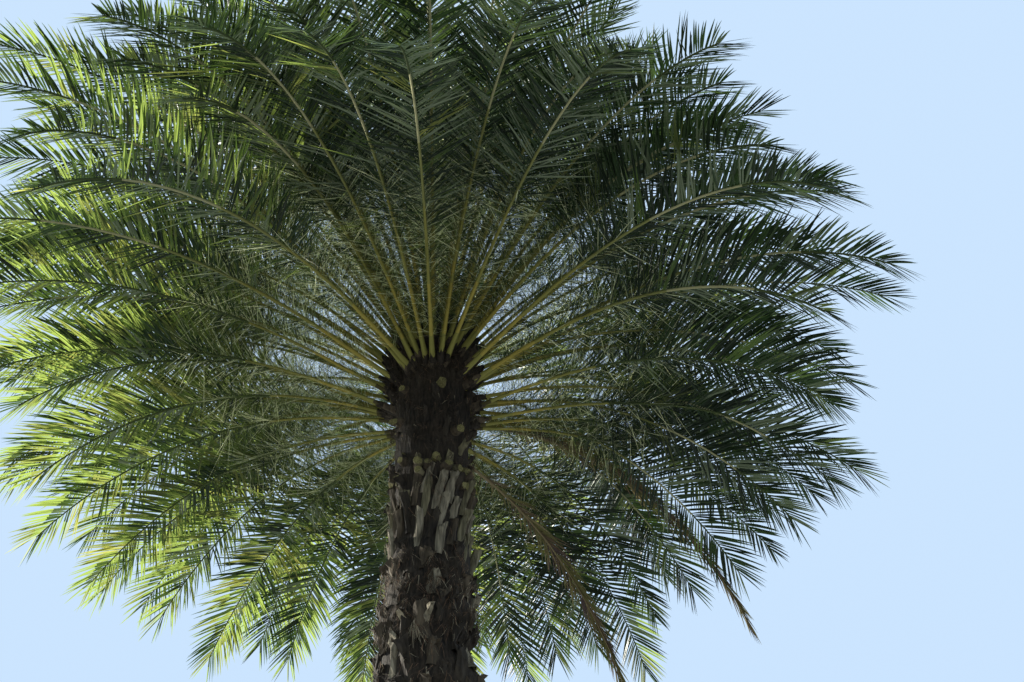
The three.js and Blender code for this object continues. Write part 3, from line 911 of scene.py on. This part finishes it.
GRAIN = (1, 1, 0.12)
NO_GRAIN = (1, 1, 1)
STUB_FINISHES = [
    bark_finish("stub_grey_tan", (0.042, 0.036, 0.024), (0.260, 0.228, 0.160), 60, GRAIN, 0.006),
    bark_finish("stub_olive_tan", (0.034, 0.031, 0.017), (0.180, 0.160, 0.094), 60, GRAIN, 0.006),
    bark_finish("stub_brown", (0.022, 0.017, 0.011), (0.090, 0.070, 0.045), 60, GRAIN, 0.006),
    # Dark old bases, darkened further as painted shade.
    bark_finish("stub_dark_painted_shade", (0.010, 0.008, 0.006), (0.040, 0.032, 0.022), 60, GRAIN, 0.006),
    bark_finish("stub_cut_olive", (0.055, 0.050, 0.018), (0.190, 0.170, 0.070), 140, NO_GRAIN, 0.003),
    bark_finish("stub_cut_tan", (0.120, 0.098, 0.060), (0.340, 0.285, 0.190), 140, NO_GRAIN, 0.003),
    # Dark brown fibre, darkened further as painted shade in the hollows between the stubs.
    bark_finish("bark_fibre_mat_painted_shade", (0.006, 0.005, 0.004), (0.036, 0.027, 0.018), 90, (1, 1, 0.25), 0.012),
    bark_finish("bark_old_grey", (0.060, 0.054, 0.044), (0.210, 0.190, 0.155), 40, (1, 1, 0.3), 0.010),
]
GREY_TAN, OLIVE_TAN, BROWN_STUB, DARK_STUB_AND_SHADE, CUT_OLIVE, CUT_TAN, MAT_AND_SHADE, OLD_GREY = range(8)
FIBRE_FINISHES = [
    # Dark threads, darkened further as painted shade.
    bark_finish("fibre_dark_painted_shade", (0.012, 0.009, 0.006), (0.048, 0.036, 0.024), 60, NO_GRAIN, 0.001),
    bark_finish("fibre_red_brown", (0.050, 0.030, 0.017), (0.150, 0.092, 0.054), 60, NO_GRAIN, 0.001),
    bark_finish("fibre_straw", (0.140, 0.118, 0.072), (0.330, 0.285, 0.195), 60, NO_GRAIN, 0.001),
]
FIBRE_DARK_AND_SHADE, FIBRE_RED, FIBRE_STRAW = range(3)
print("bark finishes:", len(STUB_FINISHES) + len(FIBRE_FINISHES))

# %% [markdown]
# ## The trunk under its stubs
# Under the stubs the trunk is a rough column of dark fibre. It is a grid of points round the measured line,
# pushed in and out by noise, a little slimmer than the solid because the stubs stand on it. Towards the
# ground the stubs have nearly worn away, so there the column itself comes out to the full girth, with
# upright ridges where old roots run down into the flare. Worn grey bark, brown bark and dark fibre follow
# each other up the trunk, and noise makes the edges between them ragged. The dark fibre's tone is darkened
# further as painted shade between the stubs.

# %% The core of the trunk
CORE_RINGS = 300
CORE_CORNERS = 96
STUB_DEPTH_HEIGHTS = np.array([0.0, 0.5, 1.0, 2.5, 4.6, 6.2, 6.7, 6.88])
STUB_DEPTH = np.array([0.0, 0.012, 0.030, 0.040, 0.046, 0.040, 0.030, 0.012])
OLD_BARK_TOP = 0.65  # metres, where the worn grey bark of the foot gives way to brown
OLD_BARK_RAGGED = 0.55
# Above it the dark mat is darkened further as painted shade between the stubs.
WEATHERED_TOP = 3.4  # and where the brown gives way to the dark mat of younger fibre
WEATHERED_RAGGED = 1.6
WAIST_HEIGHT = 4.76
WAIST_AZIMUTH = -5 * DEG
WAIST_DEPTH = 0.065
WAIST_HALF_HEIGHT = 0.065
SKIRT_HEIGHT = 4.60
SKIRT_DEPTH = 0.035
SKIRT_HALF_HEIGHT = 0.08
BROKEN_HALF_WIDTH = 55 * DEG


def waist(height, azimuth):
    """How far the trunk is pinched in: one hollow on its +X side, where a skirt of old bases has broken off.
    The rest of the skirt stands out under it."""
    off = turn_between(WAIST_AZIMUTH, azimuth)
    hollow = WAIST_DEPTH * np.exp(-(((height - WAIST_HEIGHT) / WAIST_HALF_HEIGHT) ** 2))
    skirt = SKIRT_DEPTH * np.exp(-(((height - SKIRT_HEIGHT) / SKIRT_HALF_HEIGHT) ** 2))
    return (hollow - skirt) * np.exp(-((off / BROKEN_HALF_WIDTH) ** 2))


def core_radius(height, azimuth):
    """The radius of the column under the stubs."""
    return trunk_radius(height) - np.interp(height, STUB_DEPTH_HEIGHTS, STUB_DEPTH) - waist(height, azimuth)


LUMPS = (7, 0.007)  # scale, in cells to the metre, and height in metres
ROUGHNESS = (38, 0.004)
GROOVES_AROUND = 9  # cells to one radian
GROOVES_UP = 1.6  # cells to the metre
GROOVE_HEIGHT = (0.006, 0.016)  # on the trunk, and at the ground
FLARE_TOP = 0.9
ROOT_RIDGES = 23
ROOT_WANDER = 3  # radians of a ridge's own wave
WANDER_SCALE = 3
ROOT_HEIGHT = 0.006
EDGE_NOISES = ((5, 1), (17, 0.5))  # scales, in cells to the metre, and strengths


def relief(point, height, azimuth):
    """How far the column's bark stands out at a point: lumps, fine roughness, upright grooves and ridges."""
    low_down = max(0.0, 1 - height / FLARE_TOP)
    across, along = GROOVES_AROUND * math.cos(azimuth), GROOVES_AROUND * math.sin(azimuth)
    grooves = noise.noise(Vector((across, along, height * GROOVES_UP)))
    wander = ROOT_WANDER * noise.noise(Vector((0, 0, height * WANDER_SCALE)))
    roots = math.sin(ROOT_RIDGES * azimuth + wander) * low_down
    bumps = sum(high * noise.noise(Vector(point) * scale) for scale, high in (LUMPS, ROUGHNESS))
    deep = GROOVE_HEIGHT[0] + (GROOVE_HEIGHT[1] - GROOVE_HEIGHT[0]) * low_down
    return bumps + deep * grooves + ROOT_HEIGHT * roots


def edge_shift(point):
    """How far an edge between two kinds of bark is shifted at a point, for a raggedness of 1."""
    return sum(strength * noise.noise(Vector(point) * scale) for scale, strength in EDGE_NOISES)


heights = np.linspace(0, TRUNK_TOP, CORE_RINGS)
azimuths = np.arange(CORE_CORNERS) * 2 * math.pi / CORE_CORNERS
height_grid, azimuth_grid = np.meshgrid(heights, azimuths, indexing="ij")
radius_grid = core_radius(height_grid, azimuth_grid)
core_points = trunk_middle(height_grid) + outward(azimuth_grid) * radius_grid[..., None]
stand_out = np.array([
    relief(point, height, azimuth)
    for point, height, azimuth in zip(core_points.reshape(-1, 3), height_grid.ravel(), azimuth_grid.ravel())
]).reshape(height_grid.shape)
core_points += outward(azimuth_grid) * stand_out[..., None]
shift = np.array([edge_shift(point) for point in core_points.reshape(-1, 3)]).reshape(height_grid.shape)
worn = height_grid + OLD_BARK_RAGGED * shift < OLD_BARK_TOP
weathered = height_grid + WEATHERED_RAGGED * shift < WEATHERED_TOP
core_tones = np.where(worn, OLD_GREY, np.where(weathered, BROWN_STUB, MAT_AND_SHADE))[:-1]
core = Patches()
core.tubes(core_points[None], core_tones[None])
stand_for(core.piece("trunk_bark", STUB_FINISHES, smooth=True), ["trunk"])

# %% [markdown]
# ## Stubs of old leaf bases
# Every frond that a palm drops or that is sawn off leaves a stub, and the stubs wind up the trunk with the
# golden angle between one and the next, like the seeds of a sunflower. Just under the crown they are small
# dark ones in a mat of fibre, with a few fresh cuts. Below that come a band of long pale straps, a shaggy
# dark band, and then old swollen stubs that are greyer and flatter towards the ground. The dark stubs and
# the mat are darkened further as painted shade. Each zone has its own sizes, and each stub differs a little.
# A stub is a tube along its own line, which tilts outwards from the trunk.

# %% Stubs in zones
ZONES = [  # from the height given up to the next, with tilt and lean in degrees
    {"from": 0.12, "rise": 0.0110, "length": 0.10, "width": 0.120, "depth": 0.016, "tilt": 2, "lean": 0,
     "ragged": 0.005, "tones": ([OLD_GREY, GREY_TAN, BROWN_STUB], [0.66, 0.10, 0.24]), "cuts": [OLD_GREY]},
    {"from": 0.85, "rise": 0.0105, "length": 0.13, "width": 0.112, "depth": 0.026, "tilt": 5, "lean": 0,
     "ragged": 0.006, "tones": ([OLD_GREY, GREY_TAN, BROWN_STUB, DARK_STUB_AND_SHADE], [0.34, 0.10, 0.46, 0.10]),
     "cuts": [OLD_GREY, BROWN_STUB]},
    {"from": 2.40, "rise": 0.0100, "length": 0.16, "width": 0.104, "depth": 0.032, "tilt": 9, "lean": 0,
     "ragged": 0.007, "tones": ([GREY_TAN, OLIVE_TAN, BROWN_STUB, DARK_STUB_AND_SHADE], [0.14, 0.20, 0.44, 0.22]),
     "cuts": [OLIVE_TAN, BROWN_STUB]},
    {"from": 4.15, "rise": 0.0100, "length": 0.17, "width": 0.075, "depth": 0.032, "tilt": 11, "lean": 4,
     "ragged": 0.010, "tones": ([GREY_TAN, OLIVE_TAN, BROWN_STUB, DARK_STUB_AND_SHADE], [0.06, 0.05, 0.34, 0.55]),
     "cuts": [CUT_TAN, BROWN_STUB, DARK_STUB_AND_SHADE]},
    {"from": 4.76, "rise": 0.0105, "length": 0.12, "width": 0.055, "depth": 0.026, "tilt": 13, "lean": 4,
     "ragged": 0.011, "tones": ([BROWN_STUB, DARK_STUB_AND_SHADE, GREY_TAN], [0.24, 0.71, 0.05]),
     "cuts": [BROWN_STUB, DARK_STUB_AND_SHADE]},
    {"from": 5.18, "rise": 0.0072, "length": 0.19, "width": 0.050, "depth": 0.022, "tilt": 10, "lean": 9,
     "ragged": 0.004, "tones": ([GREY_TAN, OLIVE_TAN, BROWN_STUB, DARK_STUB_AND_SHADE], [0.30, 0.38, 0.20, 0.12]),
     "cuts": [CUT_TAN, GREY_TAN]},
    {"from": 5.54, "rise": 0.0120, "length": 0.09, "width": 0.044, "depth": 0.022, "tilt": 35, "lean": 0,
     "ragged": 0.005, "tones": ([DARK_STUB_AND_SHADE, BROWN_STUB, OLIVE_TAN], [0.62, 0.24, 0.14]),
     "cuts": [CUT_OLIVE, DARK_STUB_AND_SHADE, OLIVE_TAN]},
    {"from": 5.86, "rise": 0.0170, "length": 0.08, "width": 0.040, "depth": 0.020, "tilt": 30, "lean": 0,
     "ragged": 0.004, "tones": ([DARK_STUB_AND_SHADE, BROWN_STUB], [0.85, 0.15]),
     "cuts": [CUT_OLIVE] + [DARK_STUB_AND_SHADE] * 5},
    {"from": 6.42},
]
STUB_SECTION = np.array(
    [(-1, -0.8), (-0.92, 0.05), (-0.5, 0.62), (0, 1), (0.5, 0.62), (0.92, 0.05), (1, -0.8), (0, -1)]
)[::-1]  # across and outwards, as shares of half the width and of the depth
STUB_STEPS = np.array([0.0, 0.3, 0.6, 0.85, 1.0])
STUB_SUNK = 0.012  # how deep its foot is in the core
STUB_CURVE = 1.3  # above 1, the tilt grows towards the end
STUB_NARROWS = 0.35  # how much of its width it loses to its end
STUB_THINS = 0.30  # and of its depth
FOOT_RAGGED = 0.35  # its raggedness at the foot, as a share of that at the end
CUT_SLANT = 0.12  # of the width


def add_stubs(patches, height, azimuth, length, width, depth, tilt, lean, ragged, tones, cuts, chance,
              section=STUB_SECTION):
    """Adds stubs. Each value is an array with one number for each stub, but for ragged and section."""
    t = STUB_STEPS[None, :]
    out = outward(azimuth)
    level = outward(azimuth + math.pi / 2)
    up = height[:, None] + (length * np.cos(tilt))[:, None] * t
    radius = core_radius(up, azimuth[:, None]) - STUB_SUNK + (length * np.sin(tilt))[:, None] * t**STUB_CURVE
    aside = (length * np.sin(lean))[:, None] * t
    middle = trunk_middle(up) + out[:, None] * radius[..., None] + level[:, None] * aside[..., None]
    course = unit(np.gradient(middle, axis=1))
    face = np.cross(level[:, None], course)
    half = 0.5 * width[:, None] * (1 - STUB_NARROWS * t)
    thick = depth[:, None] * (1 - STUB_THINS * t)
    rings = section_rings(middle, level[:, None], face, half, thick, section)
    rings += ragged * chance.normal(size=rings.shape) * (FOOT_RAGGED + (1 - FOOT_RAGGED) * t)[..., None, None]
    slant = (CUT_SLANT * width * chance.normal(size=len(height)))[:, None] * section[:, 0]
    rings[:, -1] += course[:, -1, None] * slant[..., None]
    patches.tubes(rings, np.repeat(tones[:, None], len(STUB_STEPS) - 1, axis=1), cuts)


def stubs_in(patches, zone, top, first, chance):
    """Adds the stubs of one zone, and returns the number of the next stub."""
    count = int((top - zone["from"]) / zone["rise"])
    number = first + np.arange(count)
    add_stubs(
        patches,
        height=zone["from"] + np.arange(count) * zone["rise"] + chance.normal(0, 0.006, count),
        azimuth=number * GOLDEN_ANGLE + chance.normal(0, 0.05, count),
        length=zone["length"] * chance.uniform(0.6, 1.25, count),
        width=zone["width"] * chance.uniform(0.75, 1.25, count),
        depth=zone["depth"] * chance.uniform(0.7, 1.3, count),
        tilt=zone["tilt"] * DEG * chance.uniform(0.4, 1.7, count),
        lean=(zone["lean"] + chance.normal(0, 5, count)) * DEG,
        ragged=zone["ragged"],
        tones=chance.choice(zone["tones"][0], size=count, p=zone["tones"][1]),
        cuts=chance.choice(zone["cuts"], size=count),
        chance=chance,
    )
    return first + count


chance = np.random.default_rng(SEED + 40)
stubs = Patches()
number = 0
for zone, above in zip(ZONES, ZONES[1:]):
    number = stubs_in(stubs, zone, above["from"], number, chance)
print("stubs:", number)

# %% [markdown]
# ## Knobs, and one torn base
# Two uneven rows of stubs were cut short where the straps end, and stick straight out as pale olive knobs.
# A few single ones are higher up. One old base at the foot of the shaggy band has torn open: it shows pale
# wood and straw-coloured threads. They are stubs too, with a large tilt.

# %% Knobs and the torn base
KNOB_ROWS = [(5.66, 16), (5.73, 14), (6.02, 5), (6.22, 6)]  # height and how many round the trunk
KNOB_CORNERS = np.arange(8) * math.pi / 4
ROUND_SECTION = np.array([(math.sin(turn), math.cos(turn)) for turn in KNOB_CORNERS])[::-1]
TORN_HEIGHT = 4.77
TORN_AZIMUTH = -101 * DEG

for height, count in KNOB_ROWS:
    add_stubs(
        stubs,
        height=height + chance.normal(0, 0.022, count),
        azimuth=(np.arange(count) + chance.uniform(-0.35, 0.35, count)) * 2 * math.pi / count,
        length=chance.uniform(0.036, 0.056, count),
        width=chance.uniform(0.054, 0.070, count),
        depth=chance.uniform(0.023, 0.031, count),
        tilt=chance.uniform(75, 115, count) * DEG,
        lean=chance.normal(0, 8, count) * DEG,
        ragged=0.0015,
        tones=chance.choice([OLIVE_TAN, CUT_OLIVE, BROWN_STUB], size=count),
        cuts=np.full(count, CUT_OLIVE),
        chance=chance,
        section=ROUND_SECTION,
    )
add_stubs(
    stubs,
    height=TORN_HEIGHT + np.array([0.0, 0.02]),
    azimuth=TORN_AZIMUTH + np.array([-0.10, 0.12]),
    length=np.array([0.115, 0.13]),
    width=np.array([0.030, 0.036]),
    depth=np.array([0.008, 0.010]),
    tilt=np.array([40, 62]) * DEG,
    lean=np.array([-24, 22]) * DEG,
    ragged=0.004,
    tones=np.array([CUT_TAN, GREY_TAN]),
    cuts=np.array([CUT_TAN, CUT_TAN]),
    chance=chance,
)
stand_for(stubs.piece("trunk_stubs", STUB_FINISHES, smooth=False), ["trunk"])

# %% [markdown]
# ## Sheaths at the feet of the stalks
# A green stalk grows out of a sheath of dark net, which wraps it and its neighbours. Without it the stalks
# would look like rods stuck into the trunk. Each sheath is a short ragged sleeve, wide at the trunk and
# tight further out.

# %% Sheaths
SHEATH_RUN = np.array([-0.06, -0.01, 0.015, 0.035, 0.05])  # metres from the trunk
SHEATH_WIDE = np.array([1.9, 1.7, 1.5, 1.25, 1.05])  # as shares of the stalk's own width and depth
SHEATH_FRAY = 0.010  # along the stalk
SHEATH_LUMPS = 0.0025
SHEATH_RANGE = (0.6, 1.3)
# The mat and dark stub tones of the sheaths are darkened as painted shade at the stalks' feet.
SHEATH_TONES = [MAT_AND_SHADE, MAT_AND_SHADE, DARK_STUB_AND_SHADE, BROWN_STUB]
chance = np.random.default_rng(SEED + 45)
sheaths = Patches()
for rib in [rib for ribs in GREEN_FRONDS.values() for rib in ribs]:
    run = SHEATH_RUN * chance.uniform(*SHEATH_RANGE)
    place, along, side, up, _ = rib.at(np.maximum(run, 0))
    place = place + along * np.minimum(run, 0)[:, None]
    half = SHEATH_WIDE * np.interp(run, RIB_RUN, RIB_HALF_WIDTH)
    depth = SHEATH_WIDE * np.interp(run, RIB_RUN, RIB_DEPTH)
    rings = section_rings(place, side, up, half, depth, STALK_SECTION)
    fray = SHEATH_FRAY * chance.normal(size=(len(run), len(STALK_SECTION)))
    rings = rings + along[:, None] * fray[..., None]
    rings = rings + SHEATH_LUMPS * chance.normal(size=rings.shape)
    sheaths.tubes(rings[None], chance.choice(SHEATH_TONES, size=(1, len(run) - 1)))
stand_for(sheaths.piece("trunk_sheaths", STUB_FINISHES, smooth=False), ["trunk"])

# %% [markdown]
# ## Fibres
# Between the stubs hangs the palm's fibre: brown threads and straps of torn sheath that hold the stubs in a
# mat, thick and dark just under the crown and in the shaggy band. The dark threads are darkened further as
# painted shade. They are narrow strips that start on the bark, many from the same place, hang down or
# slantwise, and lift away from it. The threads of the torn base are pale.

# %% Fibres on the trunk
FIBRE_BANDS = [
    # from, to, bunches, threads in each, longest, widest, swing, and shares of dark, red-brown and straw
    (1.2, 4.2, 300, 3, 0.10, 0.004, 0.7, [0.55, 0.30, 0.15]),
    (4.2, 4.80, 220, 8, 0.10, 0.0035, 0.5, [0.66, 0.26, 0.08]),
    (4.80, 5.22, 320, 10, 0.09, 0.0035, 0.5, [0.70, 0.23, 0.07]),
    (5.22, 5.70, 110, 4, 0.09, 0.003, 0.5, [0.60, 0.28, 0.12]),
    (5.70, 6.40, 330, 7, 0.09, 0.004, 0.8, [0.84, 0.13, 0.03]),
    (6.30, 6.80, 300, 7, 0.14, 0.005, 2.4, [0.84, 0.14, 0.02]),
]
FIBRE_TONES = [FIBRE_DARK_AND_SHADE, FIBRE_RED, FIBRE_STRAW]
FIBRE_STEPS = np.array([0.0, 0.35, 0.7])
FIBRE_LENGTHS = (0.3, 1)  # as shares of the longest
FIBRE_WIDTHS = (0.25, 1)  # and of the widest
FIBRE_LIFT = 0.22  # of its length, off the bark
FIBRE_CLEAR = 0.004
FIBRE_FOOT = 0.4  # of the stubs' depth, how deep between them a fibre starts
FIBRE_WAVE = 0.006
WAVE_ALONG = 9  # radians of the wave from end to end
WAVE_AROUND = 7  # and for one radian round the trunk
BUNCH_HEIGHT = 0.008  # how far the fibres of a bunch differ, in metres and radians
BUNCH_TURN = 0.03
BUNCH_SLANT = 0.35


def fibres(patches, height, azimuth, slant, longest, widest, shares, chance):
    """Adds fibres from the given places. slant is how far each turns from straight down."""
    count = len(height)
    length = longest * chance.uniform(*FIBRE_LENGTHS, count)
    lift = np.abs(chance.normal(0, FIBRE_LIFT, count)) * length + FIBRE_CLEAR
    width = widest * chance.uniform(*FIBRE_WIDTHS, count)
    start = trunk_radius(height) - FIBRE_FOOT * np.interp(height, STUB_DEPTH_HEIGHTS, STUB_DEPTH)
    start -= waist(height, azimuth)

    def place(t):
        """The points of all fibres at a share of their length."""
        drop = height - length * t * np.cos(slant)
        turn = azimuth + length * t * np.sin(slant) / start
        wave = FIBRE_WAVE * np.sin(WAVE_ALONG * t + azimuth * WAVE_AROUND)
        reach = start + lift * t * (1 - 0.5 * t) + wave
        return trunk_middle(drop) + outward(turn) * reach[:, None]

    level = outward(azimuth + math.pi / 2)
    middles = np.stack([place(t) for t in FIBRE_STEPS], axis=1)
    half = (0.5 * width[:, None] * (1 - 0.5 * FIBRE_STEPS))[..., None] * level[:, None]
    rings = np.stack([middles + half, middles - half], axis=2)
    finishes = chance.choice(FIBRE_TONES, size=(count, 1), p=shares) + 0 * np.arange(len(FIBRE_STEPS))
    patches.strips(rings, place(1.0), finishes)


chance = np.random.default_rng(SEED + 50)
threads = Patches()
for low, high, bunches, many, longest, widest, swing, shares in FIBRE_BANDS:
    count = bunches * many
    height = np.repeat(chance.uniform(low, high, bunches), many) + chance.normal(0, BUNCH_HEIGHT, count)
    azimuth = np.repeat(chance.uniform(0, 2 * math.pi, bunches), many) + chance.normal(0, BUNCH_TURN, count)
    slant = np.repeat(chance.normal(0, swing, bunches), many) + chance.normal(0, BUNCH_SLANT, count)
    fibres(threads, height, azimuth, slant, longest, widest, shares, chance)
TORN_THREADS = 60
fibres(
    threads,
    height=TORN_HEIGHT + chance.normal(0.03, 0.012, TORN_THREADS),
    azimuth=TORN_AZIMUTH + chance.normal(0.02, 0.05, TORN_THREADS),
    slant=chance.normal(0.1, 0.3, TORN_THREADS),
    longest=0.12,
    widest=0.003,
    shares=[0.10, 0.25, 0.65],
    chance=chance,
)
stand_for(threads.piece("trunk_fibres", FIBRE_FINISHES, smooth=False), ["trunk"])

# %% [markdown]
# ## Floor, sky and light
# The palm stands on a plain pale floor under a plain pale sky. A strong warm light comes from behind it on
# the left, not far above the floor, so that the fronds there glow and the trunk's left edge is lit. The
# even light of the sky and a faint light from the front fill in the underside of the crown.

# %% Floor and light
FLOOR_HALF_SIDE = 400.0
FLOOR_DROP = 0.001  # under the flat cut of the trunk
FLOOR_COLOUR = (0.32, 0.32, 0.31, 1)
SKY_COLOUR = (0.60, 0.78, 1.0, 1)
bpy.ops.mesh.primitive_plane_add(size=2 * FLOOR_HALF_SIDE, location=(0, 0, -FLOOR_DROP))
floor = bpy.context.object
floor.name = "floor"
floor_finish, nodes, links, surface, _ = new_finish("floor_pale")
surface.inputs["Base Color"].default_value = FLOOR_COLOUR
surface.inputs["Specular IOR Level"].default_value = 0.1
uneven_shine(nodes, links, surface, noise_node(nodes, links, 2), 0.85, 0.9)
floor.data.materials.append(floor_finish)

world = bpy.data.worlds.new("sky")
bpy.context.scene.world = world
world.use_nodes = True
world.node_tree.nodes["Background"].inputs["Color"].default_value = SKY_COLOUR
world.node_tree.nodes["Background"].inputs["Strength"].default_value = 1.0


def far_light(name, strength, spread, colour, azimuth, height):
    """A light from far away, as soft as its spread. azimuth and height say where it comes from. All three
    are in degrees."""
    light = bpy.data.lights.new(name, "SUN")
    light.energy = strength
    light.angle = spread * DEG
    light.color = colour
    holder = bpy.data.objects.new(name, light)
    azimuth, height = azimuth * DEG, height * DEG
    level = math.cos(height)
    source = Vector((math.cos(azimuth) * level, math.sin(azimuth) * level, math.sin(height)))
    holder.rotation_mode = "QUATERNION"
    holder.rotation_quaternion = source.to_track_quat("Z", "Y")
    bpy.context.scene.collection.objects.link(holder)


far_light("key_from_behind", strength=13.0, spread=6, colour=(1.0, 0.96, 0.86), azimuth=152, height=17)
far_light("fill_from_front", strength=0.3, spread=60, colour=(0.95, 0.98, 1.0), azimuth=-60, height=25)
bpy.context.scene.view_settings.view_transform = "Standard"
